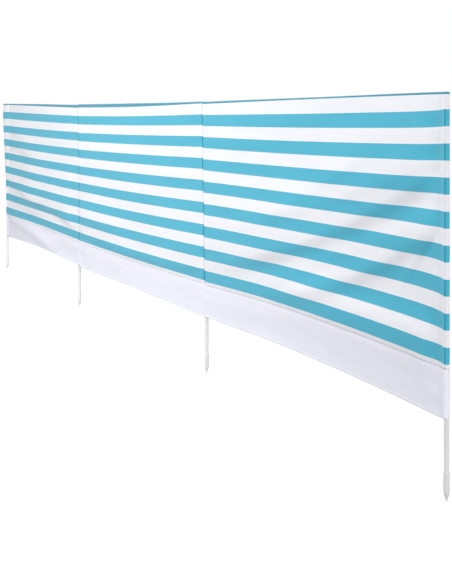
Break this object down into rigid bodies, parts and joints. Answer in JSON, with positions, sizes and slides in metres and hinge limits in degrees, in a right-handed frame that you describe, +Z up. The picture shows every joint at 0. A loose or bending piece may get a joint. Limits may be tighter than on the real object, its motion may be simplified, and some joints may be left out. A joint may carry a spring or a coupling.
{
  "type": "beach windbreak",
  "caption": "Long low beach windbreak: striped cloth with a plain white skirt, stretched in bays between round white poles with pointed ground spikes.",
  "frame": {"origin": "middle of the blunt end of the first pole's ground spike", "axes": "+X along the windbreak from the first pole to the last, +Y to the back, where the sleeves show, +Z up along the poles"},
  "size_m": [4.8192, 0.0357, 1.21],
  "materials": {
    "pole_tube": "white powder coat on steel tube, satin",
    "ground_spike": "white moulded plastic",
    "striped_cloth": "plain woven cloth with level sky blue and white stripes",
    "skirt_cloth": "thin plain woven cloth, white",
    "hem_cloth": "plain woven cloth, sky blue"
  },
  "bodies": {
    "root": {"pole_tube_1": "pole_tube", "ground_spike_1": "ground_spike", "pole_sleeve_1": "striped_cloth", "skirt_sleeve_1": "skirt_cloth", "pole_tube_2": "pole_tube", "ground_spike_2": "ground_spike", "pole_sleeve_2": "striped_cloth", "skirt_sleeve_2": "skirt_cloth", "pole_tube_3": "pole_tube", "ground_spike_3": "ground_spike", "pole_sleeve_3": "striped_cloth", "skirt_sleeve_3": "skirt_cloth", "pole_tube_4": "pole_tube", "ground_spike_4": "ground_spike", "pole_sleeve_4": "striped_cloth", "skirt_sleeve_4": "skirt_cloth", "striped_panel_1": "striped_cloth", "top_hem_1": "hem_cloth", "skirt_panel_1": "skirt_cloth", "bottom_hem_1": "skirt_cloth", "striped_panel_2": "striped_cloth", "top_hem_2": "hem_cloth", "skirt_panel_2": "skirt_cloth", "bottom_hem_2": "skirt_cloth", "striped_panel_3": "striped_cloth", "top_hem_3": "hem_cloth", "skirt_panel_3": "skirt_cloth", "bottom_hem_3": "skirt_cloth"}
  },
  "joints": []
}
